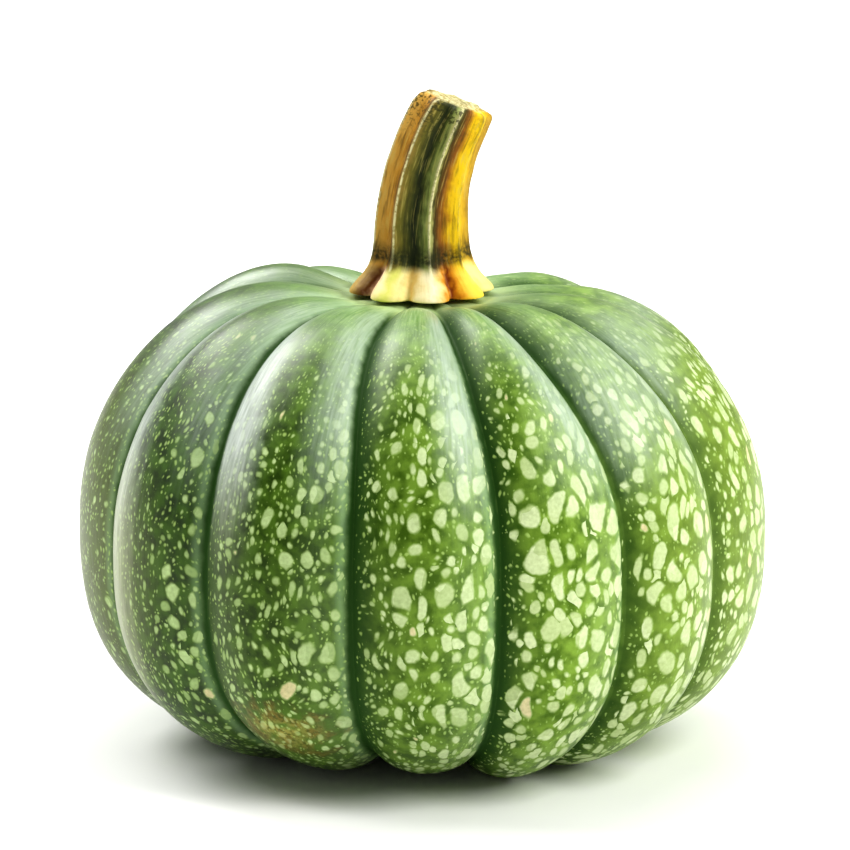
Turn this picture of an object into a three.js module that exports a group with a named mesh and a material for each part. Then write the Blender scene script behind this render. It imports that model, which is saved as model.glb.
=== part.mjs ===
// Kabocha squash: a ribbed fruit, and the fluted stalk that it was cut from the vine with.
// Millimetres, +Z up. The origin is on the table, under the middle of the whole.
// Angles run anticlockwise seen from above, from the front of the fruit, which faces -Y.
import * as THREE from "three";

const { clamp, degToRad, lerp, smoothstep } = THREE.MathUtils;

// The fruit. Radii and heights are those of the crests; the belt is its widest level.
const BELT_RADIUS = 90.5;
const BELT_HEIGHT = 57.4; // above the table
const CROWN_RISE = 74; // from the belt to the top, before the crown flattens for the stalk
const FOOT_DROP = 63.3; // from the belt to the bottom, before the blossom end dips in
const CROWN_FULLNESS = 2.16; // exponents of the outline's superellipse; 2 is an ellipse
const FOOT_FULLNESS = 2.6;
const CROWN_DIP = { depth: 16.5, radius: 34 };
const BLOSSOM_DIP = { depth: 12, radius: 35 };
const SEAT = { radius: 20, rise: 60.5, edge: 8 }; // flat disc under the stalk, above the belt
const GROOVE = { depth: 5.6, crownEnd: 17, blossomEnd: 6, run: 26 }; // radii it starts at, and its run-in
const GROOVE_EASE = 0.7; // under 1, a groove deepens fast at first
const ARC = 0.86; // how round a rib is across: 0 is a parabola, 1 a half circle

// The ribs in turn, the first from the groove at FIRST_GROOVE and the rest towards the right.
// Each has its width at the belt and how far its left groove turns on its way up to the crown,
// in degrees, and how far its shoulder stands above the outline and its foot below it.
const FIRST_GROOVE = -12.3;
const TURN_ENDS = { whole: 0.1, gone: 0.44 }; // shares of the way down from the crown
const POLE_EASE = 1.5; // over 1, a rib's own shoulder and foot keep away from the belt
const RIBS = [
  { width: 25, turn: -3.5, shoulder: 0, foot: -1.6 }, // the front
  { width: 23.6, turn: -4, shoulder: 0, foot: 1.4 },
  { width: 23.7, turn: -9, shoulder: 0, foot: 1.4 },
  { width: 36, turn: -6, shoulder: -1, foot: 0.7 },
  { width: 30, turn: -6, shoulder: -3.5, foot: 1.4 },
  { width: 28, turn: -4, shoulder: -3.6, foot: -0.4 },
  { width: 25, turn: 0, shoulder: -7, foot: 1.4 },
  { width: 26, turn: 0, shoulder: -7, foot: 0 },
  { width: 26, turn: 0, shoulder: -1.6, foot: 0 },
  { width: 25, turn: 0, shoulder: 2.4, foot: 1.4 },
  { width: 35, turn: 0, shoulder: 0.4, foot: 0.8 },
  { width: 29, turn: -3, shoulder: 0, foot: 0.4 },
  { width: 27.7, turn: -5, shoulder: 0, foot: -1 },
];

// Where the mesh's columns stand across a rib, from one groove (-1) to the next (1), and its rings.
const COLUMNS = [-1, -0.88, -0.62, -0.32, 0, 0.32, 0.62, 0.88];
const RINGS = 34;

// The stalk. Heights are above its foot, which is STALK_GAP clear of the seat.
const STALK_GAP = 0.3;
const STALK_HEIGHT = 50.4;
const STALK_OUTLINE = [
  // height, radius over the ridges
  [0, 18.9],
  [0.7, 19.4],
  [1.8, 18.9],
  [3.4, 17.5],
  [5.4, 15.8],
  [7.8, 14.1],
  [10.6, 13.1],
  [15, 12.7],
  [22, 12.3],
  [30, 11.8],
  [38, 11.4],
  [44.5, 11.3],
  [48.6, 10.9],
  [STALK_HEIGHT, 10],
];
const RIDGES = [-78, -36, 10, 53, 97, 140, 185, 232]; // degrees
const FURROW_DEPTH = { foot: 0.27, shaft: 0.23 }; // shares of the radius
const SHAFT = { starts: 3, clears: 12 }; // heights between which the foot's lobes turn to ridges
// How it leans to the right: the run to its full slope, and how far its rings tip by then.
const BEND = { from: 17, run: 34, slope: 0.58, tip: 0.38 };
const STALK_SHIFT = -0.6; // from the fruit's axis
const COLUMNS_PER_RIDGE = 8;
const SHAFT_STEP = 2.6;

// A point at an angle round the fruit: 0 is the front, 90 degrees the right.
function around(radius, angle, z) {
  return new THREE.Vector3(radius * Math.sin(angle), -radius * Math.cos(angle), z);
}

// The outline of the crests at a share of the way from the crown (0) to the blossom end (1).
function outline(share) {
  const angle = Math.PI * share;
  const upper = share <= 0.5;
  const power = 2 / (upper ? CROWN_FULLNESS : FOOT_FULLNESS);
  const radius = BELT_RADIUS * Math.max(Math.sin(angle), 0) ** power;
  const rise = Math.abs(Math.cos(angle)) ** power;
  const dip = upper ? CROWN_DIP : BLOSSOM_DIP;
  const dent = dip.depth * Math.exp(-((radius / dip.radius) ** 2));
  if (!upper) return { radius, z: dent - FOOT_DROP * rise };
  const onSeat = smoothstep(radius, SEAT.radius, SEAT.radius + SEAT.edge);
  return { radius, z: lerp(SEAT.rise, CROWN_RISE * rise - dent, onSeat) };
}

// The outline's outward normal, in the plane of the axis.
function outlineNormal(share) {
  const step = 1e-3;
  const before = outline(Math.max(share - step, 0));
  const after = outline(Math.min(share + step, 1));
  return new THREE.Vector2(before.z - after.z, after.radius - before.radius).normalize();
}

// How deep the grooves are cut at a radius, on the crown or on the blossom end.
function grooveDepth(radius, upper) {
  const start = upper ? GROOVE.crownEnd : GROOVE.blossomEnd;
  return GROOVE.depth * clamp((radius - start) / GROOVE.run, 0, 1) ** GROOVE_EASE;
}

// A rib's section: 0 on the crest and 1 in either groove.
function section(across) {
  return (1 - Math.sqrt(1 - ARC * across ** 2)) / (1 - Math.sqrt(1 - ARC));
}

// The columns of the mesh: their angle and its turn, their place across their rib, and the rib's
// own height changes, which run smoothly from one crest to the next.
function columns() {
  const made = [];
  let left = FIRST_GROOVE;
  RIBS.forEach((rib, i) => {
    for (const across of COLUMNS) {
      const next = RIBS.at((i + Math.sign(across)) % RIBS.length);
      const toNext = smoothstep(Math.abs(across), 0, 2);
      const rightTurn = RIBS[(i + 1) % RIBS.length].turn;
      made.push({
        angle: degToRad(left + (rib.width * (across + 1)) / 2),
        turn: degToRad(lerp(rib.turn, rightTurn, (across + 1) / 2)),
        across,
        shoulder: lerp(rib.shoulder, next.shoulder, toNext),
        foot: lerp(rib.foot, next.foot, toNext),
      });
    }
    left += rib.width;
  });
  return made;
}

// The fruit's skin at one column and one ring. Where a rib would reach below the table it is flat,
// so that the fruit rests on small pads.
function skinPoint(column, share) {
  const upper = share <= 0.5;
  const { radius, z } = outline(share);
  const normal = outlineNormal(share);
  const inwards = grooveDepth(radius, upper) * section(column.across);
  const towardsPole = Math.abs(Math.cos(Math.PI * share)) ** POLE_EASE;
  const offPole = upper
    ? smoothstep(radius, SEAT.radius, 2 * SEAT.radius)
    : smoothstep(radius, 0, BLOSSOM_DIP.radius);
  const own = (upper ? column.shoulder : -column.foot) * towardsPole * offPole;
  const height = BELT_HEIGHT + z + own - inwards * normal.y;
  const unturned = smoothstep(share, TURN_ENDS.whole, TURN_ENDS.gone);
  const angle = column.angle + column.turn * (1 - unturned);
  return around(radius - inwards * normal.x, angle, Math.max(height, 0));
}

// A closed skin over rings of points, from the top ring down, with a point at each end.
function skinOver(rings, top, bottom) {
  const count = rings[0].length;
  const points = [top, ...rings.flat(), bottom];
  const at = (ring, i) => 1 + ring * count + (i % count);
  const last = points.length - 1;
  const faces = [];
  for (let i = 0; i < count; i++) {
    faces.push(0, at(0, i), at(0, i + 1));
    for (let ring = 0; ring < rings.length - 1; ring++) {
      faces.push(at(ring, i), at(ring + 1, i), at(ring + 1, i + 1));
      faces.push(at(ring, i), at(ring + 1, i + 1), at(ring, i + 1));
    }
    faces.push(at(rings.length - 1, i), last, at(rings.length - 1, i + 1));
  }
  const geometry = new THREE.BufferGeometry().setFromPoints(points);
  geometry.setIndex(faces);
  geometry.computeVertexNormals();
  return geometry;
}

function fruitGeometry() {
  const across = columns();
  const rings = [];
  for (let ring = 1; ring < RINGS; ring++) {
    rings.push(across.map((column) => skinPoint(column, ring / RINGS)));
  }
  const crown = around(0, 0, BELT_HEIGHT + outline(0).z);
  const blossomEnd = around(0, 0, BELT_HEIGHT + outline(1).z);
  return skinOver(rings, crown, blossomEnd);
}

// The stalk's radius over its ridges at a height, straight between the outline's points.
function stalkRadius(height) {
  const i = STALK_OUTLINE.findIndex(([top]) => top >= height);
  if (i <= 0) return STALK_OUTLINE[0][1];
  const [[low, below], [high, above]] = [STALK_OUTLINE[i - 1], STALK_OUTLINE[i]];
  return lerp(below, above, (height - low) / (high - low));
}

// Heights of the stalk's rings: the outline's own points, and steps up the long shaft.
function stalkHeights() {
  const heights = [];
  STALK_OUTLINE.slice(1).forEach(([high], i) => {
    const low = STALK_OUTLINE[i][0];
    const steps = Math.ceil((high - low) / SHAFT_STEP);
    for (let step = 0; step < steps; step++) heights.push(lerp(low, high, step / steps));
  });
  return [...heights, STALK_HEIGHT];
}

// How deep the side of the stalk is at a share of the way from a ridge (0) to a furrow (1):
// round lobes with creases between them at the foot, sharp ridges with hollows up the shaft.
function furrow(share, height) {
  const shaft = smoothstep(height, SHAFT.starts, SHAFT.clears);
  const lobe = FURROW_DEPTH.foot * section(share);
  const hollow = FURROW_DEPTH.shaft * Math.sin((Math.PI * share) / 2);
  return lerp(lobe, hollow, shaft);
}

// One ring of the stalk, tipped as its centreline bends.
function stalkRing(height) {
  const radius = stalkRadius(height);
  const bent = clamp((height - BEND.from) / BEND.run, 0, 1);
  const straight = Math.max(height - BEND.from - BEND.run, 0);
  const aside = BEND.slope * ((bent ** 2 * BEND.run) / 2 + straight);
  const turn = new THREE.Matrix4().makeRotationY(Math.atan(BEND.tip * bent));
  turn.setPosition(aside, 0, height);
  return RIDGES.flatMap((ridge, i) => {
    const gap = (RIDGES[i + 1] ?? RIDGES[0] + 360) - ridge;
    return Array.from({ length: COLUMNS_PER_RIDGE }, (_, column) => {
      const along = column / COLUMNS_PER_RIDGE;
      const toFurrow = 1 - Math.abs(2 * along - 1);
      const reach = radius * (1 - furrow(toFurrow, height));
      return around(reach, degToRad(ridge + gap * along), 0).applyMatrix4(turn);
    });
  });
}

function stalkGeometry() {
  const rings = stalkHeights().reverse().map(stalkRing);
  const centre = (ring) =>
    ring.reduce((sum, point) => sum.add(point), new THREE.Vector3()).divideScalar(ring.length);
  return skinOver(rings, centre(rings[0]), centre(rings.at(-1)));
}

const rind = new THREE.MeshStandardMaterial({ color: 0x55812f, roughness: 0.42, metalness: 0 });
const cork = new THREE.MeshStandardMaterial({ color: 0xa39a35, roughness: 0.6, metalness: 0 });

const fruit = new THREE.Mesh(fruitGeometry(), rind);
fruit.name = "fruit";

const stalk = new THREE.Mesh(stalkGeometry(), cork);
stalk.name = "stalk";
stalk.position.set(STALK_SHIFT, 0, BELT_HEIGHT + SEAT.rise + STALK_GAP);

const squash = new THREE.Group();
squash.add(fruit, stalk);

// The origin goes under the middle of the whole.
const middle = new THREE.Box3().setFromObject(squash).getCenter(new THREE.Vector3());
squash.position.set(-middle.x, -middle.y, 0);

export default squash;
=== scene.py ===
"""A kabocha squash: the ribbed, flecked fruit and the fluted stalk it was cut from the vine with.
Metres, +Z up, -Y the front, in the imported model's frame."""
from functools import partial
from math import cos, pi, radians, sin

import bmesh
import bpy
import numpy as np
from mathutils import Euler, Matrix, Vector
from mathutils.kdtree import KDTree


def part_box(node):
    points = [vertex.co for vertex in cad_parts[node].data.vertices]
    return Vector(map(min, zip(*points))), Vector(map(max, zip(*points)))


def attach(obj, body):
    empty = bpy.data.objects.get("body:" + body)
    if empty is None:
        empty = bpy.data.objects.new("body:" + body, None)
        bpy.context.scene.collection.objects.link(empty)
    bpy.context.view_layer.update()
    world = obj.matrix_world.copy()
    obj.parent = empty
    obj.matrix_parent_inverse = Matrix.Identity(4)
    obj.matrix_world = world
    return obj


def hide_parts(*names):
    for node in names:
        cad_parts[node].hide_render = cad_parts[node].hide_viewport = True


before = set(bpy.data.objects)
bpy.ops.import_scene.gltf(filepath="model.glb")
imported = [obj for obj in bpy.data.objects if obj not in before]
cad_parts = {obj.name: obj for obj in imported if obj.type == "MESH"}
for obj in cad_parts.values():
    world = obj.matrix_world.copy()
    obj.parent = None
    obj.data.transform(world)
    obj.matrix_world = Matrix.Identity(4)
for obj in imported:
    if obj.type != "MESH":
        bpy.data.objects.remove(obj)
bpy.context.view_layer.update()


# ---- The fruit -------------------------------------------------------------------------------
# The whole fruit grew as one piece: a hard rind, ribbed from the stalk to the blossom end. The
# ribs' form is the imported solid's, made smooth here, with the slight swellings of a grown thing.
MM = 0.001


def copy_of_node(node, name):
    """A new piece with a CAD node's shape, merged to one closed mesh of quads, left in edit mode."""
    bpy.ops.object.select_all(action="DESELECT")
    piece = bpy.data.objects.new(name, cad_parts[node].data.copy())
    bpy.context.collection.objects.link(piece)
    bpy.context.view_layer.objects.active = piece
    piece.select_set(True)
    piece.data.materials.clear()
    bpy.ops.object.mode_set(mode="EDIT")
    bpy.ops.mesh.select_all(action="SELECT")
    bpy.ops.mesh.remove_doubles(threshold=0.001 * MM)
    bpy.ops.mesh.tris_convert_to_quads(face_threshold=radians(60), shape_threshold=radians(60))
    return piece


def keep_sharp(piece, name, wanted, crease):
    """Creases the wanted edges of the piece in edit mode, and keeps their ends as a vertex group."""
    bpy.ops.mesh.select_mode(type="EDGE")
    bpy.ops.mesh.select_all(action="DESELECT")
    mesh = bmesh.from_edit_mesh(piece.data)
    for edge in mesh.edges:
        edge.select_set(wanted(edge))
    bmesh.update_edit_mesh(piece.data)
    bpy.ops.transform.edge_crease(value=crease)
    bpy.ops.object.mode_set(mode="OBJECT")
    ends = {v for edge in piece.data.edges if edge.select for v in edge.vertices}
    piece.vertex_groups.new(name=name).add(list(ends), 1, "REPLACE")


def subdivide(levels):
    """Makes the active piece's quads finer, on the smooth surface that they outline."""
    bpy.ops.object.modifier_add(type="SUBSURF")
    subsurf = bpy.context.object.modifiers[-1]
    subsurf.levels = levels
    subsurf.render_levels = levels
    bpy.ops.object.modifier_apply(modifier=subsurf.name)


def swell(name, size, depth):
    """Sinks the active piece's skin by up to depth, in soft lumps of about that size."""
    lumps = bpy.data.textures.new(name, "CLOUDS")
    lumps.noise_scale = size
    bpy.ops.object.modifier_add(type="DISPLACE")
    displace = bpy.context.object.modifiers[-1]
    displace.texture = lumps
    displace.texture_coords = "LOCAL"
    displace.strength = depth
    displace.mid_level = 1
    bpy.ops.object.modifier_apply(modifier=displace.name)


def places(piece):
    """The piece's vertices, as an array of one row each."""
    found = np.empty(3 * len(piece.data.vertices))
    piece.data.vertices.foreach_get("co", found)
    return found.reshape(-1, 3)


def on_lines(piece):
    """Which vertices are on the lines that keep_sharp kept, once the piece is subdivided."""
    return np.array([any(g.weight > 0.99 for g in v.groups) for v in piece.data.vertices])


def nearest_on(piece, lines):
    """Each vertex's nearest vertex on some lines, and how far off it is."""
    at = places(piece)
    tree = KDTree(int(lines.sum()))
    for i in np.flatnonzero(lines):
        tree.insert(at[i], i)
    tree.balance()
    found = [tree.find(place) for place in at]
    return np.array([hit[1] for hit in found]), np.array([hit[2] for hit in found])


def store(piece, name, values):
    """Keeps a number per vertex, for the piece's material."""
    piece.data.attributes.new(name, "FLOAT", "POINT").data.foreach_set("value", values)


def wrap(piece, name, turn, along):
    """A UV map of a round piece: turn goes once round it, from 0 to 1, and along is a length."""
    faces = piece.data.polygons
    corners = np.empty(len(piece.data.loops), int)
    piece.data.loops.foreach_get("vertex_index", corners)
    turns = turn[corners]
    for face in faces:
        part = slice(face.loop_start, face.loop_start + face.loop_total)
        if np.ptp(turns[part]) > 0.5:
            turns[part] = np.where(turns[part] < 0.5, turns[part] + 1, turns[part])
    layer = piece.data.uv_layers.new(name=name)
    layer.data.foreach_set("uv", np.column_stack([turns, along[corners]]).ravel())


rind = copy_of_node("fruit", "rind")
# The grooves are the folds that turn inwards. A little crease keeps them sharper than the crests.
keep_sharp(rind, "groove", lambda edge: edge.calc_face_angle_signed() < radians(-12), 0.35)
subdivide(2)
swell("rib_swellings", 38 * MM, 0.5 * MM)
swell("rind_dimples", 9 * MM, 0.15 * MM)
bpy.ops.object.shade_smooth()

# Where each bit of skin is: how far round the fruit, starting in the groove at the back, and how
# far down it from the crown, as a length over the skin. Then how far it is from a groove, and
# which bank it is on: 1 to the right of its groove, and 0 to the left.
skin_at = places(rind)
grooves = on_lines(rind)
BELT_HEIGHT = 57.4 * MM
level = np.abs(skin_at[:, 2] - BELT_HEIGHT) < 2 * MM
out = skin_at - (skin_at[level].min(0) + skin_at[level].max(0)) / 2
around = np.arctan2(out[:, 0], -out[:, 1])
down = np.arctan2(np.hypot(out[:, 0], out[:, 1]), out[:, 2])
SKIN_RADIUS = 80 * MM
BELT_RADIUS = 90.5 * MM
back_groove = around[level & grooves].max()
wrap(rind, "skin", ((around - back_groove) / (2 * pi)) % 1, down * SKIN_RADIUS)
nearest, away = nearest_on(rind, grooves)
store(rind, "from_groove", away)
store(rind, "right_bank", np.sin(around - around[nearest]) > 0)


def linear(colour):
    """A hex sRGB colour as the linear one that shaders want."""
    parts = [int(colour[i:i + 2], 16) / 255 for i in (0, 2, 4)]
    return [c / 12.92 if c <= 0.04045 else ((c + 0.055) / 1.055) ** 2.4 for c in parts] + [1]


def add_node(tree, kind, inputs, **settings):
    """Adds a node with its settings, and links or sets its inputs: a list in the order of its
    sockets, or a dict of names. Gives its first output."""
    made = tree.nodes.new("ShaderNode" + kind)
    for name, value in settings.items():
        setattr(made, name, value)
    if isinstance(inputs, dict):
        pairs = [(made.inputs[name], value) for name, value in inputs.items()]
    else:
        pairs = zip([socket for socket in made.inputs if socket.enabled], inputs)
    for socket, value in pairs:
        if isinstance(value, bpy.types.NodeSocket):
            tree.links.new(value, socket)
        else:
            socket.default_value = value
    return next(output for output in made.outputs if output.enabled)


# Squash rind: a thin, hard, waxy skin, green with chlorophyll. Pale flecks of tissue without it
# crowd the flanks in four sizes. The grooves are plain and dark, deepened with painted shade, the
# crown is pale with wax and painted highlight, and painted sheen lies on the flanks. The wax coat
# gives it a soft, broad shine.
rind_stuff = bpy.data.materials.new("waxy_squash_rind")
rind_stuff.use_nodes = True
node = partial(add_node, rind_stuff.node_tree)
shader = rind_stuff.node_tree.nodes["Principled BSDF"]
SMOOTH = {"interpolation_type": "SMOOTHSTEP"}
RGB = {"data_type": "RGBA"}

here = node("TexCoord", []).node.outputs["Object"]
skin_map = node("UVMap", [], uv_map="skin")
flat = node("VectorMath", [skin_map, (2 * pi * BELT_RADIUS, 1, 1)], operation="MULTIPLY")
down_skin = node("SeparateXYZ", [skin_map]).node.outputs["Y"]
sideways = node("SeparateXYZ", [here])
from_groove = node("Attribute", [], attribute_name="from_groove").node.outputs["Fac"]
right_bank = node("Attribute", [], attribute_name="right_bank").node.outputs["Fac"]

# Slow changes over the whole fruit, the mottle between its flecks, the grain of its pores, and
# streaks down the ribs. The real pores and streaks are finer, but wouldn't show.
broad = node("TexNoise", {"Vector": here, "Scale": 1 / (32 * MM), "Detail": 1.0})
mottle = node("TexNoise", {"Vector": here, "Scale": 1 / (4 * MM), "Detail": 3.0})
grain = node("TexNoise", {"Vector": here, "Scale": 1 / (1.0 * MM), "Detail": 2.0})
streak_map = node("VectorMath", [flat, (1 / (1.0 * MM), 1 / (9 * MM), 1)], operation="MULTIPLY")
streaks = node("TexNoise", {"Vector": streak_map, "Scale": 1.0, "Detail": 3.0})

# The flat map bent and shaken, so that flecks lie at all angles and have uneven outlines.
bend = node("TexNoise", {"Vector": here, "Scale": 1 / (9 * MM), "Detail": 0.0})
bend = bend.node.outputs["Color"]
bend = node("VectorMath", [bend, (0.5, 0.5, 0.5)], operation="SUBTRACT")
shake = node("TexNoise", {"Vector": here, "Scale": 1 / (1.9 * MM), "Detail": 1.5})
shake = shake.node.outputs["Color"]
shake = node("VectorMath", [shake, (0.5, 0.5, 0.5)], operation="SUBTRACT")
shaken = node("VectorMath", [bend, (5 * MM, 4 * MM, 0), flat], operation="MULTIPLY_ADD")
shaken = node("VectorMath", [shake, (0.9 * MM, 1.0 * MM, 0), shaken], operation="MULTIPLY_ADD")

# How much bigger than their own reach flecks grow, in cell sizes: less on the crown, and not in
# the grooves. The lengths are down the skin: the crown ends, and flanks and foot begin.
crown_end, shoulder, flank_end, foot = 44 * MM, 97 * MM, 148 * MM, 185 * MM
growth = node("MapRange", [down_skin, crown_end, shoulder, -0.34, 0.0])
patchy = node("MapRange", [broad, 0.35, 0.65, -0.06, 0.06])
growth = node("Math", [growth, patchy], operation="ADD")
to_right = node("MapRange", [sideways, -64 * MM, 42 * MM, 0.0, 1.0], **SMOOTH)
more_to_right = node("MapRange", [to_right, 0.0, 1.0, -0.06, 0.20])
growth = node("Math", [more_to_right, growth], operation="ADD")
ragged = node("Math", [mottle, 1.4 * MM, -0.7 * MM], operation="MULTIPLY_ADD")
from_groove = node("Math", [from_groove, ragged], operation="ADD")
left_bank = node("Math", [1.0, right_bank], operation="SUBTRACT")
# Each rib's right flank has more of them, and takes painted sheen further on. Its left one, the
# lee, has fewer, and takes painted shade. Both are reckoned in lengths at the belt, because the
# ribs narrow towards the poles.
off_axis = node("VectorMath", [here, (1, 1, 0)], operation="MULTIPLY")
off_axis = node("VectorMath", [off_axis], operation="LENGTH")
narrowing = node("Math", [BELT_RADIUS, off_axis], operation="DIVIDE")
into_rib = node("Math", [from_groove, narrowing], operation="MULTIPLY")
flank = node("MapRange", [into_rib, 8 * MM, 19 * MM, 1.0, 0.0], **SMOOTH)
flank = node("Math", [flank, left_bank], operation="MULTIPLY")
lee = node("MapRange", [into_rib, 3 * MM, 18 * MM, 1.0, 0.0], **SMOOTH)
lee = node("Math", [lee, right_bank], operation="MULTIPLY")
growth = node("Math", [flank, 0.05, growth], operation="MULTIPLY_ADD")
growth = node("Math", [lee, -0.05, growth], operation="MULTIPLY_ADD")
fewer_far_left = node("MapRange", [sideways, -80 * MM, -60 * MM, -0.14, 0.0])
growth = node("Math", [growth, fewer_far_left], operation="ADD")
bare_to = node("MapRange", [right_bank, 0.0, 1.0, 2.0 * MM, 5.5 * MM])
near_groove = node("MapRange", [from_groove, 0.6 * MM, bare_to, -0.5, 0.0], **SMOOTH)
growth = node("Math", [growth, near_groove], operation="ADD")
small_growth = node("MapRange", [from_groove, 0.6 * MM, 1.8 * MM, -0.5, 0.0], **SMOOTH)
large_growth = node("MapRange", [down_skin, flank_end, foot, 0.0, -0.16], **SMOOTH)
large_growth = node("Math", [growth, large_growth], operation="ADD")


def cells(at, size, stretch, shift, feature="F1"):
    """Random cells over the skin, in cell sizes: the Voronoi node that scatters them."""
    moved = node("VectorMath", [at, (shift, shift, 0)], operation="ADD")
    scale = (1 / size, 1 / (size * stretch), 0)
    moved = node("VectorMath", [moved, scale], operation="MULTIPLY")
    found = node("TexVoronoi", {"Vector": moved, "Scale": 1.0, "Randomness": 0.85},
                 voronoi_dimensions="2D", feature=feature)
    return found.node


def fleck_depth(at, growing, size, stretch, shift, least, most):
    """How far a place is inside a fleck of one size, in cell sizes, and the cells' node."""
    found = cells(at, size, stretch, shift)
    own = node("SeparateColor", [found.outputs["Color"]])
    reach = node("MapRange", [own, 0.0, 1.0, least, most])
    reach = node("Math", [reach, growing], operation="ADD")
    inside = node("Math", [reach, found.outputs["Distance"]], operation="SUBTRACT")
    return inside, found


def middle(found, size, stretch, shift):
    """Where the middle of a place's own cell is, on the shaken map."""
    scale = (size, size * stretch, 0)
    back = node("VectorMath", [found.outputs["Position"], scale], operation="MULTIPLY")
    return node("VectorMath", [back, (shift, shift, 0)], operation="SUBTRACT")


def clear_of(at, growing, sort, margin):
    """1 where a place is clear of the flecks of a larger sort, and 0 where it isn't."""
    inside, _ = fleck_depth(at, growing, *sort)
    return node("Math", [inside, -margin], operation="LESS_THAN")


# Each sort of fleck: its cells' size, stretch and shift, and the least and most reach in them.
LARGE = (6.0 * MM, 1.25, 0.0, -0.08, 0.36)
MEDIUM = (3.7 * MM, 1.3, 31 * MM, 0.09, 0.40)
SMALL = (2.3 * MM, 1.25, 57 * MM, 0.10, 0.42)
SPECK = (1.4 * MM, 1.2, 83 * MM, -0.04, 0.43)

large, large_cells = fleck_depth(shaken, large_growth, *LARGE)
large_gap = cells(shaken, *LARGE[:3], feature="DISTANCE_TO_EDGE").outputs["Distance"]
large_gap = node("Math", [large_gap, -0.055], operation="ADD")
large = node("Math", [large, large_gap, 0.12], operation="SMOOTH_MIN")
large_on = node("MapRange", [large, -0.02, 0.10, 0.0, 1.0], **SMOOTH)

medium, medium_cells = fleck_depth(shaken, growth, *MEDIUM)
medium_middle = middle(medium_cells, *MEDIUM[:3])
medium_clear = clear_of(medium_middle, large_growth, LARGE, 0.20)
beside_large = clear_of(shaken, large_growth, LARGE, 0.06)
medium_clear = node("Math", [medium_clear, beside_large], operation="MULTIPLY")
medium_on = node("MapRange", [medium, -0.03, 0.15, 0.0, 1.0], **SMOOTH)
medium_on = node("Math", [medium_on, medium_clear], operation="MULTIPLY")

small, small_cells = fleck_depth(shaken, growth, *SMALL)
small_middle = middle(small_cells, *SMALL[:3])
small_clear = clear_of(small_middle, large_growth, LARGE, 0.15)
clear_of_medium = clear_of(small_middle, growth, MEDIUM, 0.2)
small_clear = node("Math", [small_clear, clear_of_medium], operation="MULTIPLY")
small_on = node("MapRange", [small, -0.04, 0.22, 0.0, 1.0], **SMOOTH)
small_on = node("Math", [small_on, small_clear], operation="MULTIPLY")

speck, _ = fleck_depth(shaken, small_growth, *SPECK)
speck_on = node("MapRange", [speck, 0.0, 0.3, 0.0, 0.75], **SMOOTH)

fleck_on = node("Math", [large_on, medium_on], operation="MAXIMUM")
fleck_on = node("Math", [fleck_on, small_on], operation="MAXIMUM")
solid_fleck = fleck_on
fleck_on = node("Math", [fleck_on, speck_on], operation="MAXIMUM")
faint = node("MapRange", [down_skin, 50 * MM, 92 * MM, 0.35, 1.0], **SMOOTH)
fleck_on = node("Math", [fleck_on, faint], operation="MULTIPLY")

# The green between the flecks: mottled, and lighter and yellower to the right, partly its own tone
# and partly painted light from the right. The crown is paler in streaks, partly with painted
# highlight, up to a pale collar round the stalk that also lifts the shade under its foot with
# painted light. Painted reflection greys the far left rib. Painted shade darkens the lee of each
# rib and most of all the grooves, over their own plain dark green, and the other bank has a pale
# rim that is a painted highlight.
dark = node("Mix", [to_right, linear("1A2F03"), linear("4A6A12")], **RGB)
mid = node("Mix", [to_right, linear("3A5A10"), linear("7FA03A")], **RGB)
green = node("Mix", [node("MapRange", [mottle, 0.36, 0.64, 0.0, 1.0]), dark, mid], **RGB)
# The crown's paler, greyer green is partly its own and partly painted highlight, kept to the middle
# of the front where the lights catch it.
crown = node("MapRange", [down_skin, 36 * MM, 74 * MM, 0.95, 0.0], **SMOOTH)
aside = node("Math", [sideways], operation="ABSOLUTE")
aside = node("MapRange", [aside, 15 * MM, 50 * MM, 1.0, 0.2], **SMOOTH)
crown = node("Math", [crown, aside], operation="MULTIPLY")
streaky = node("MapRange", [streaks, 0.32, 0.68, 0.0, 1.0])
pale = node("Mix", [streaky, linear("628648"), linear("96B27C")], **RGB)
green = node("Mix", [crown, green, pale], **RGB)
# The pale collar round the stalk is partly its own tone and partly painted light that lifts the
# shade under the stalk's foot.
collar_and_lift = node("MapRange", [down_skin, 24 * MM, 36 * MM, 0.7, 0.0], **SMOOTH)
green = node("Mix", [collar_and_lift, green, linear("BCD094")], **RGB)
# Painted reflection: the far left rib, seen at a grazing angle, is greyed to olive.
far_left_reflection = node("MapRange", [sideways, -84 * MM, -64 * MM, 0.6, 0.0], **SMOOTH)
green = node("Mix", [far_left_reflection, green, linear("616A36")], **RGB)
# Painted light: the far right is made a lighter, yellower green where the key light falls.
far_right_light = node("MapRange", [sideways, 30 * MM, 85 * MM, 0.0, 0.5], **SMOOTH)
green = node("Mix", [far_right_light, green, linear("869A44")], **RGB)
# Painted shade: the lee of each rib, facing away from the key light at the right, is darkened, less
# so further right.
less_to_right = node("MapRange", [sideways, 20 * MM, 70 * MM, 1.0, 0.5], **SMOOTH)
lee_painted_shade = node("Math", [lee, less_to_right], operation="MULTIPLY")
lee_painted_shade = node("Math", [lee_painted_shade, 0.5], operation="MULTIPLY")
green = node("Mix", [lee_painted_shade, green, linear("25440A")], **RGB)
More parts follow.
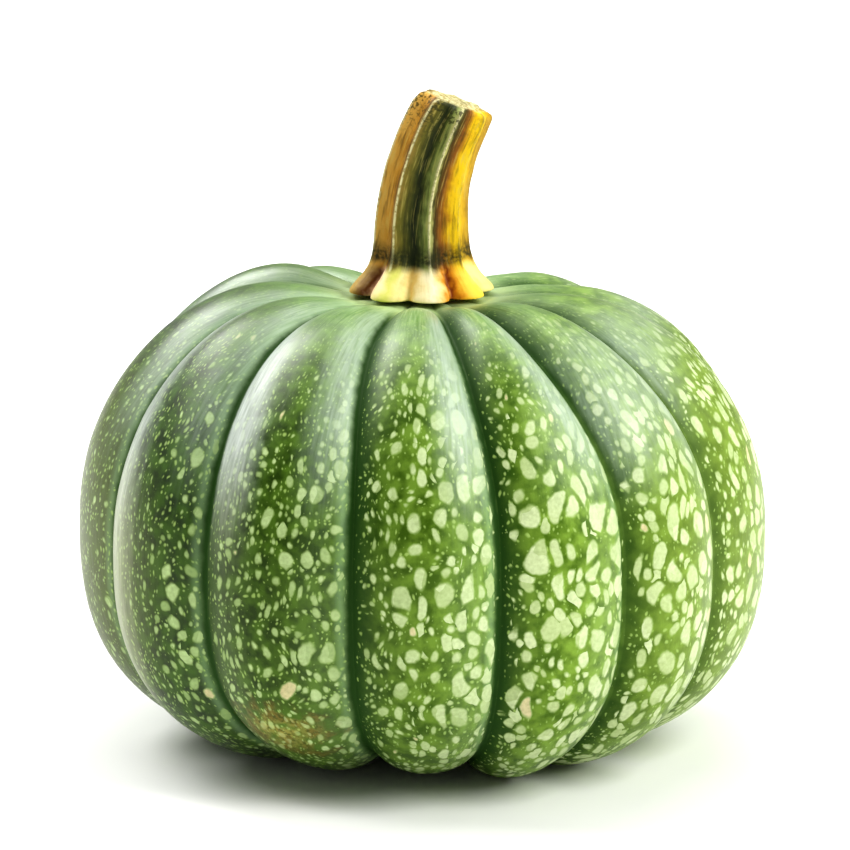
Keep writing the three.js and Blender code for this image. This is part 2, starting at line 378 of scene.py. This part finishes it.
# Partly painted shade: the grooves' own plain dark green is darkened, in a narrow seam on both banks
# and widely on the right bank that faces away from the key light, less so further right and not on
# the crown.
in_groove = node("MapRange", [from_groove, 0.6 * MM, 8.5 * MM, 1.0, 0.0], **SMOOTH)
in_groove = node("Math", [in_groove, right_bank], operation="MULTIPLY")
in_seam = node("MapRange", [from_groove, 0.2 * MM, 3.0 * MM, 1.0, 0.0], **SMOOTH)
in_groove = node("Math", [in_groove, in_seam], operation="MAXIMUM")
in_groove = node("Math", [in_groove, less_to_right], operation="MULTIPLY")
off_crown = node("MapRange", [down_skin, 25 * MM, 44 * MM, 0.0, 1.0], **SMOOTH)
in_groove = node("Math", [in_groove, off_crown], operation="MULTIPLY")
green = node("Mix", [in_groove, green, linear("1F420E")], **RGB)
# Painted highlight: a pale rim on the left bank of each groove, the rib flank that faces the key
# light.
rim_highlight = node("MapRange", [from_groove, 5.0 * MM, 1.8 * MM, 0.0, 0.4], **SMOOTH)
rim_highlight = node("Math", [rim_highlight, left_bank], operation="MULTIPLY")
off_seam = node("Math", [1.0, in_seam], operation="SUBTRACT")
rim_highlight = node("Math", [rim_highlight, off_seam], operation="MULTIPLY")
green = node("Mix", [rim_highlight, green, linear("9CC08C")], **RGB)

# The flecks' colour: pale yellow green, each with a shade of its own, and a few cream or peach.
# Those on the left are darker, with painted shade.
shade = node("SeparateColor", [medium_cells.outputs["Color"]]).node.outputs["Green"]
shaded_left_fleck = node("Mix", [shade, linear("8FAA66"), linear("BCD492")], **RGB)
right_fleck = node("Mix", [shade, linear("B8CA8C"), linear("D6E2B2")], **RGB)
fleck = node("Mix", [to_right, shaded_left_fleck, right_fleck], **RGB)
tint = node("SeparateColor", [large_cells.outputs["Color"]]).node.outputs["Blue"]
peach = node("Math", [tint, 0.95], operation="GREATER_THAN")
peach = node("Math", [peach, large_on], operation="MULTIPLY")
peach = node("Math", [peach, 0.7], operation="MULTIPLY")
fleck = node("Mix", [peach, fleck, linear("E4CDA2")], **RGB)
thin_spots = node("MapRange", [grain, 0.3, 0.7, 0.25, 0.0])
fleck = node("Mix", [thin_spots, fleck, green], **RGB)
fleck = node("Mix", [solid_fleck, linear("A7C46C"), fleck], **RGB)
colour = node("Mix", [fleck_on, green, fleck], **RGB)

# Where the fruit lay on the ground a patch was rubbed, and healed brown and yellow. At the
# bottom is the corky scar that the blossom left.
off_rub = node("VectorMath", [here, (-33 * MM, -66 * MM, 22 * MM)], operation="SUBTRACT")
rub_scale = (1 / (13 * MM), 1 / (13 * MM), 1 / (9 * MM))
off_rub = node("VectorMath", [off_rub, rub_scale], operation="MULTIPLY")
off_rub = node("VectorMath", [off_rub], operation="LENGTH")
off_rub = node("Math", [mottle, 3.0, off_rub], operation="MULTIPLY_ADD")
rub = node("MapRange", [off_rub, 1.8, 2.7, 0.75, 0.0], **SMOOTH)
broken = node("MapRange", [grain, 0.35, 0.6, 0.3, 1.0])
rub = node("Math", [rub, broken], operation="MULTIPLY")
healed = node("MapRange", [mottle, 0.4, 0.58, 0.0, 1.0])
healed = node("Mix", [healed, linear("8A7630"), linear("C8BC62")], **RGB)
colour = node("Mix", [rub, colour, healed], **RGB)
scar = node("Math", [ragged, 2.0, down_skin], operation="MULTIPLY_ADD")
scar = node("MapRange", [scar, 241 * MM, 243 * MM, 0.0, 1.0], **SMOOTH)
cork = node("MapRange", [grain, 0.35, 0.65, 0.0, 1.0])
cork = node("Mix", [cork, linear("6E5530"), linear("B09A68")], **RGB)
colour = node("Mix", [scar, colour, cork], **RGB)

# Painted sheen lies over it all, in streaks, where the soft boxes' highlights fall on the wax. On
# the right flanks it is strongest above the belt, and right of the middle it covers the whole
# shoulder.
right_sheen = node("MapRange", [down_skin, 82 * MM, 114 * MM, 0.8, 0.08], **SMOOTH)
right_sheen = node("Math", [right_sheen, flank], operation="MULTIPLY")
sunnier = node("MapRange", [to_right, 0.0, 0.7, 0.45, 1.0])
right_sheen = node("Math", [right_sheen, sunnier], operation="MULTIPLY")
shoulder_sheen = node("MapRange", [sideways, 22 * MM, 48 * MM, 0.0, 0.5], **SMOOTH)
haze_end = node("MapRange", [sideways, 54 * MM, 72 * MM, 1.0, 0.0], **SMOOTH)
shoulder_sheen = node("Math", [shoulder_sheen, haze_end], operation="MULTIPLY")
haze_top = node("MapRange", [down_skin, 46 * MM, 70 * MM, 0.0, 1.0], **SMOOTH)
shoulder_sheen = node("Math", [shoulder_sheen, haze_top], operation="MULTIPLY")
haze_bottom = node("MapRange", [down_skin, 86 * MM, 112 * MM, 1.0, 0.0], **SMOOTH)
shoulder_sheen = node("Math", [shoulder_sheen, haze_bottom], operation="MULTIPLY")
right_sheen = node("Math", [right_sheen, shoulder_sheen], operation="MAXIMUM")
# On the left the painted sheen lies on the other flanks, over a thin painted sheen at the far left,
# and is less where ribs face left.
left_sheen_to = node("MapRange", [mottle, 0.35, 0.65, 19 * MM, 22 * MM])
left_sheen = node("MapRange", [into_rib, 9 * MM, left_sheen_to, 1.0, 0.0], **SMOOTH)
left_sheen = node("Math", [left_sheen, right_bank], operation="MULTIPLY")
on_left = node("MapRange", [sideways, -42 * MM, -20 * MM, 0.9, 0.0], **SMOOTH)
left_sheen = node("Math", [left_sheen, on_left], operation="MULTIPLY")
left_below = node("MapRange", [sideways, -72 * MM, -50 * MM, 0.6, 0.1], **SMOOTH)
fading_down = node("MapRange", [down_skin, 88 * MM, 125 * MM, 0.95, left_below], **SMOOTH)
left_sheen = node("Math", [left_sheen, fading_down], operation="MULTIPLY")
far_left_sheen = node("MapRange", [sideways, -82 * MM, -60 * MM, 0.45, 0.0], **SMOOTH)
far_left_sheen_bank = node("MapRange", [right_bank, 0.0, 1.0, 0.4, 1.0])
far_left_sheen = node("Math", [far_left_sheen, far_left_sheen_bank], operation="MULTIPLY")
left_sheen = node("Math", [left_sheen, far_left_sheen], operation="ADD")
facing = node("Math", [sideways, off_axis], operation="DIVIDE")
facing = node("MapRange", [facing, -0.97, -0.84, 0.3, 1.0], **SMOOTH)
left_sheen = node("Math", [left_sheen, facing], operation="MULTIPLY")
# The painted sheen is broken up in streaks, thinned near the stalk and kept off the groove seams.
off_stalk = node("MapRange", [down_skin, 26 * MM, 52 * MM, 0.15, 1.0], **SMOOTH)
sheen_streaks = node("MapRange", [streaks, 0.32, 0.68, 0.62, 1.1])
sheen_streaks = node("Math", [sheen_streaks, off_stalk], operation="MULTIPLY")
sheen_streaks = node("Math", [sheen_streaks, off_seam], operation="MULTIPLY")
right_sheen = node("Math", [right_sheen, sheen_streaks], operation="MULTIPLY")
left_sheen = node("Math", [left_sheen, sheen_streaks], operation="MULTIPLY")
# Painted sheen: a whitish grey green laid over the base colour.
colour = node("Mix", [right_sheen, colour, linear("B0C2AC")], **RGB)
# Painted highlight: the left sheen is near white high up and olive lower down.
left_sheen_colour = node("MapRange", [down_skin, 90 * MM, 130 * MM, 0.0, 1.0], **SMOOTH)
left_sheen_colour = node("Mix", [left_sheen_colour, linear("D0D8D0"), linear("A8B080")], **RGB)
colour = node("Mix", [left_sheen, colour, left_sheen_colour], **RGB)
rind_stuff.node_tree.links.new(colour, shader.inputs["Base Color"])

# The skin's own relief: pores and fine wrinkles along the ribs, in metres.
relief = node("Math", [streaks, 0.10 * MM], operation="MULTIPLY")
relief = node("Math", [grain, 0.05 * MM, relief], operation="MULTIPLY_ADD")
relief = node("Math", [solid_fleck, 0.03 * MM, relief], operation="MULTIPLY_ADD")
bump = node("Bump", {"Height": relief, "Distance": 1.0, "Strength": 0.7})
rind_stuff.node_tree.links.new(bump, shader.inputs["Normal"])
gloss = node("MapRange", [mottle, 0.3, 0.7, 0.34, 0.42])
gloss = node("Math", [in_groove, 0.3, gloss], operation="MULTIPLY_ADD")
rind_stuff.node_tree.links.new(gloss, shader.inputs["Roughness"])
shader.inputs["IOR"].default_value = 1.33
shader.inputs["Specular Tint"].default_value = linear("E0EEC4")

# The wax coat is thickest on the shoulders and where the sheen is painted, and is rubbed thin below.
wax = node("MapRange", [down_skin, 60 * MM, 100 * MM, 0.45, 0.0], **SMOOTH)
sheen_sum = node("Math", [right_sheen, left_sheen], operation="ADD")
wax = node("Math", [wax, sheen_sum], operation="ADD", use_clamp=True)
off_groove = node("Math", [1.0, in_groove], operation="SUBTRACT")
wax = node("Math", [wax, off_groove], operation="MULTIPLY")
rind_stuff.node_tree.links.new(wax, shader.inputs["Coat Weight"])
shader.inputs["Coat Roughness"].default_value = 0.4

rind.data.materials.append(rind_stuff)
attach(rind, "root")
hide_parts("fruit")


# ---- The stalk -------------------------------------------------------------------------------
# The stalk that the fruit hung by, cut square. It is hard and corky: eight sharp ridges with
# hollows between, spreading at the foot into knuckles that grip the crown.
stalk = copy_of_node("stalk", "cut_stalk")


def is_ridge(edge):
    """Whether an edge is the long, sharp crest of a ridge."""
    run = edge.verts[1].co - edge.verts[0].co
    return edge.calc_face_angle_signed() > radians(28) and abs(run.z) > 0.7 * run.length


keep_sharp(stalk, "ridge", is_ridge, 0.55)
subdivide(2)
swell("knuckles", 7 * MM, 0.4 * MM)
bpy.ops.object.shade_smooth()

# Where each bit of its side is: how far round its leaning middle line, and how high up it.
store(stalk, "from_ridge", nearest_on(stalk, on_lines(stalk))[1])
stalk_at = places(stalk)
foot_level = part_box("stalk")[0].z
stalk_at -= [*stalk_at[stalk_at[:, 2] < foot_level + 1 * MM].mean(0)[:2], 0]
LEANS_FROM, LEANING, LEAN, TIP = 17 * MM, 34 * MM, 0.58, 0.38
height = stalk_at[:, 2] - foot_level
rise = height
for _ in range(4):
    bent = np.clip((rise - LEANS_FROM) / LEANING, 0, 1)
    tipped = np.arctan(TIP * bent)
    across = (stalk_at[:, 0] - LEAN * bent ** 2 * LEANING / 2) / np.cos(tipped)
    rise = height + np.sin(tipped) * across
turn = np.arctan2(across, -stalk_at[:, 1])
wrap(stalk, "stalk_side", (turn / (2 * pi) + 0.5) % 1, rise)

# Corky stalk: lignified green tissue, dull, its ridges rubbed pale and its hollows dark, partly with
# painted shade. It is olive in front, ochre at the left and golden at the right, over cream and
# orange knuckles.
stalk_stuff = bpy.data.materials.new("ridged_corky_stalk")
stalk_stuff.use_nodes = True
node = partial(add_node, stalk_stuff.node_tree)
shader = stalk_stuff.node_tree.nodes["Principled BSDF"]
here = node("TexCoord", []).node.outputs["Object"]
side_map = node("UVMap", [], uv_map="stalk_side")
side = node("SeparateXYZ", [side_map])
rise_up = side.node.outputs["Y"]
from_ridge = node("Attribute", [], attribute_name="from_ridge").node.outputs["Fac"]
blotch = node("TexNoise", {"Vector": here, "Scale": 1 / (5 * MM), "Detail": 3.0})
speck = node("TexNoise", {"Vector": here, "Scale": 1 / (0.9 * MM), "Detail": 2.0})
fibre_map = node("VectorMath", [side_map, (75 / 0.9, 1 / (8 * MM), 1)], operation="MULTIPLY")
fibres = node("TexNoise", {"Vector": fibre_map, "Scale": 1.0, "Detail": 3.0})
wander = node("MapRange", [blotch, 0.3, 0.7, -0.012, 0.012])
side = node("Math", [side, wander], operation="ADD")
foot_side = node("Math", [wander, 0.4, side], operation="MULTIPLY_ADD")
# Both have colours round them, each at its angle in degrees from the front, towards the right. The
# darkest, in the hollows between ridges and the creases between knuckles, are partly painted shade.
SHAFT_COLOURS = [
    (-180, "7C7B2C"), (-140, "A08A2E"), (-100, "80581A"), (-80, "D8AA50"), (-62, "C08C2C"),
    (-48, "5E3C0A"), (-40, "8E7636"), (-30, "66601E"), (-20, "3A3F12"), (-13, "1C240A"),
    (-5, "464F1C"), (3, "86924A"), (9, "A8A868"), (14, "3E3A10"), (22, "54380A"),
    (32, "8A560C"), (39, "C08C10"), (45, "F0C414"), (60, "FAD81C"), (80, "EFC41A"),
    (100, "A8801C"), (125, "807A2C"), (155, "5F6A28"), (180, "7C7B2C"),
]
FOOT_COLOURS = [
    (-180, "C9B56A"), (-110, "A88A44"), (-80, "C2A050"), (-64, "5E3008"), (-56, "E6BE9C"),
    (-44, "F3DFA6"), (-33, "E2E070"), (-22, "F6E79C"), (-13, "E6C06A"), (-2, "FAE8AE"),
    (10, "FAEFC8"), (20, "F6D68A"), (26, "E09A28"), (31, "7A3202"), (36, "E0921C"),
    (45, "FAC93A"), (58, "FBDC50"), (76, "FAF0A4"), (100, "E4CC70"), (140, "C9B56A"),
    (180, "C9B56A"),
]
blended = []
for turned, colours in ((side, SHAFT_COLOURS), (foot_side, FOOT_COLOURS)):
    ramp = node("ValToRGB", [turned]).node
    points = ramp.color_ramp.elements
    while len(points) < len(colours):
        points.new(1)
    for point, (degrees, colour) in zip(points, colours):
        point.position = degrees / 360 + 0.5
        point.color = linear(colour)
    blended.append(ramp.outputs["Color"])
shaft, foot_colour = blended

# The ridges are rubbed pale in dashes, and dark specks and long fibres lie on the faces.
rubbed = node("MapRange", [from_ridge, 0.2 * MM, 0.75 * MM, 1.0, 0.0], **SMOOTH)
dashes = node("MapRange", [speck, 0.38, 0.5, 0.3, 0.95])
rubbed = node("Math", [rubbed, dashes], operation="MULTIPLY")
not_golden = node("MapRange", [side, 0.56, 0.6, 1.0, 0.15])
rubbed = node("Math", [rubbed, not_golden], operation="MULTIPLY")
dark_fibres = node("MapRange", [fibres, 0.52, 0.66, 0.0, 0.5])
shaft = node("Mix", [dark_fibres, shaft, linear("2A2C0C")], **RGB)
pale_fibres = node("MapRange", [fibres, 0.46, 0.34, 0.0, 0.3])
shaft = node("Mix", [pale_fibres, shaft, linear("CDBE6A")], **RGB)
shaft = node("Mix", [rubbed, shaft, linear("DDD6A4")], **RGB)
near_cut = node("MapRange", [rise_up, 38 * MM, 47 * MM, 0.0, 0.8], **SMOOTH)
specks = node("MapRange", [speck, 0.5, 0.6, 0.0, 1.0])
specks = node("Math", [near_cut, specks], operation="MULTIPLY")
in_front = node("MapRange", [side, 0.53, 0.57, 1.0, 0.25])
specks = node("Math", [specks, in_front], operation="MULTIPLY")
shaft = node("Mix", [specks, shaft, linear("32340E")], **RGB)
# A dark, speckled band lies above the foot, where the stalk dried first.
band_low = node("MapRange", [rise_up, 8.0 * MM, 10 * MM, 0.0, 1.0], **SMOOTH)
band_high = node("MapRange", [rise_up, 11 * MM, 15 * MM, 1.0, 0.0], **SMOOTH)
band = node("Math", [band_low, band_high], operation="MULTIPLY")
speckled = node("MapRange", [speck, 0.34, 0.62, 0.5, 0.9])
band = node("Math", [band, speckled], operation="MULTIPLY")
shaft = node("Mix", [band, shaft, linear("1E260A")], **RGB)
foot_top = node("Math", [blotch, 3.0 * MM, rise_up], operation="MULTIPLY_ADD")
foot_on = node("MapRange", [foot_top, 8.0 * MM, 10.5 * MM, 1.0, 0.0], **SMOOTH)
body = node("Mix", [foot_on, shaft, foot_colour], **RGB)
# The cut end: a pale corky rim round a drier, browner middle.
cut_on = node("MapRange", [rise_up, 49.6 * MM, 50.1 * MM, 0.0, 0.9], **SMOOTH)
cut = node("MapRange", [speck, 0.4, 0.62, 0.0, 1.0])
cut = node("Mix", [cut, linear("E4DCA8"), linear("9A8A48")], **RGB)
body = node("Mix", [cut_on, body, cut], **RGB)
stalk_stuff.node_tree.links.new(body, shader.inputs["Base Color"])
relief = node("Math", [fibres, 0.3 * MM], operation="MULTIPLY")
relief = node("Math", [speck, 0.1 * MM, relief], operation="MULTIPLY_ADD")
bump = node("Bump", {"Height": relief, "Distance": 1.0, "Strength": 0.8})
stalk_stuff.node_tree.links.new(bump, shader.inputs["Normal"])
shader.inputs["Roughness"].default_value = 0.5
shader.inputs["IOR"].default_value = 1.3

stalk.data.materials.append(stalk_stuff)
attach(stalk, "root")
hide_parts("stalk")


# ---- The set ---------------------------------------------------------------------------------
# A matt white paper floor in a white room, tall soft boxes at both sides, dim ones behind them
# and one overhead, and a long lens far off, a little above the squash.
bpy.ops.mesh.primitive_plane_add(size=12)
floor = bpy.context.object
floor.name = "paper_floor"
paper = bpy.data.materials.new("matt_white_paper")
paper.use_nodes = True
paper.node_tree.nodes["Principled BSDF"].inputs["Base Color"].default_value = linear("F6F6F4")
paper.node_tree.nodes["Principled BSDF"].inputs["Roughness"].default_value = 0.9
floor.data.materials.append(paper)

world = bpy.data.worlds.new("white_room")
world.use_nodes = True
world.node_tree.nodes["Background"].inputs["Color"].default_value = (1, 1, 1, 1)
world.node_tree.nodes["Background"].inputs["Strength"].default_value = 0.24
bpy.context.scene.world = world

# Colours are shown as they are, with no film curve over them but a little contrast.
bpy.context.scene.view_settings.view_transform = "Standard"
bpy.context.scene.view_settings.look = "Medium High Contrast"

AIM = Vector((0.8 * MM, 0.6 * MM, 82.9 * MM))
LIGHT_DISTANCE = 2.4


def soft_box(name, azimuth, elevation, width, height, watts):
    """An area light that faces the fruit. Azimuth 0 is the front, 90 degrees the right."""
    lamp = bpy.data.lights.new(name, "AREA")
    lamp.shape = "RECTANGLE"
    lamp.size = width
    lamp.size_y = height
    lamp.energy = watts
    light = bpy.data.objects.new(name, lamp)
    bpy.context.collection.objects.link(light)
    a, e = radians(azimuth), radians(elevation)
    away = Vector((sin(a) * cos(e), -cos(a) * cos(e), sin(e)))
    light.location = AIM + away * LIGHT_DISTANCE
    light.rotation_euler = away.to_track_quat("Z", "Y").to_euler()


soft_box("left_box", -102, 46, 0.8, 1.3, 22)
soft_box("left_rim_box", -140, 44, 0.8, 1.3, 34)
soft_box("right_box", 62, 40, 0.8, 1.7, 48)
soft_box("right_rim_box", 108, 35, 0.6, 1.5, 8)
soft_box("top_box", 170, 68, 1.6, 1.6, 20)

lens = bpy.data.cameras.new("camera")
lens.lens = 244
camera = bpy.data.objects.new("camera", lens)
bpy.context.collection.objects.link(camera)
ELEVATION, DISTANCE = radians(12.5), 1.5
camera.location = AIM + DISTANCE * Vector((0, -cos(ELEVATION), sin(ELEVATION)))
camera.rotation_euler = Euler((radians(90) - ELEVATION, 0, 0))
bpy.context.scene.camera = camera
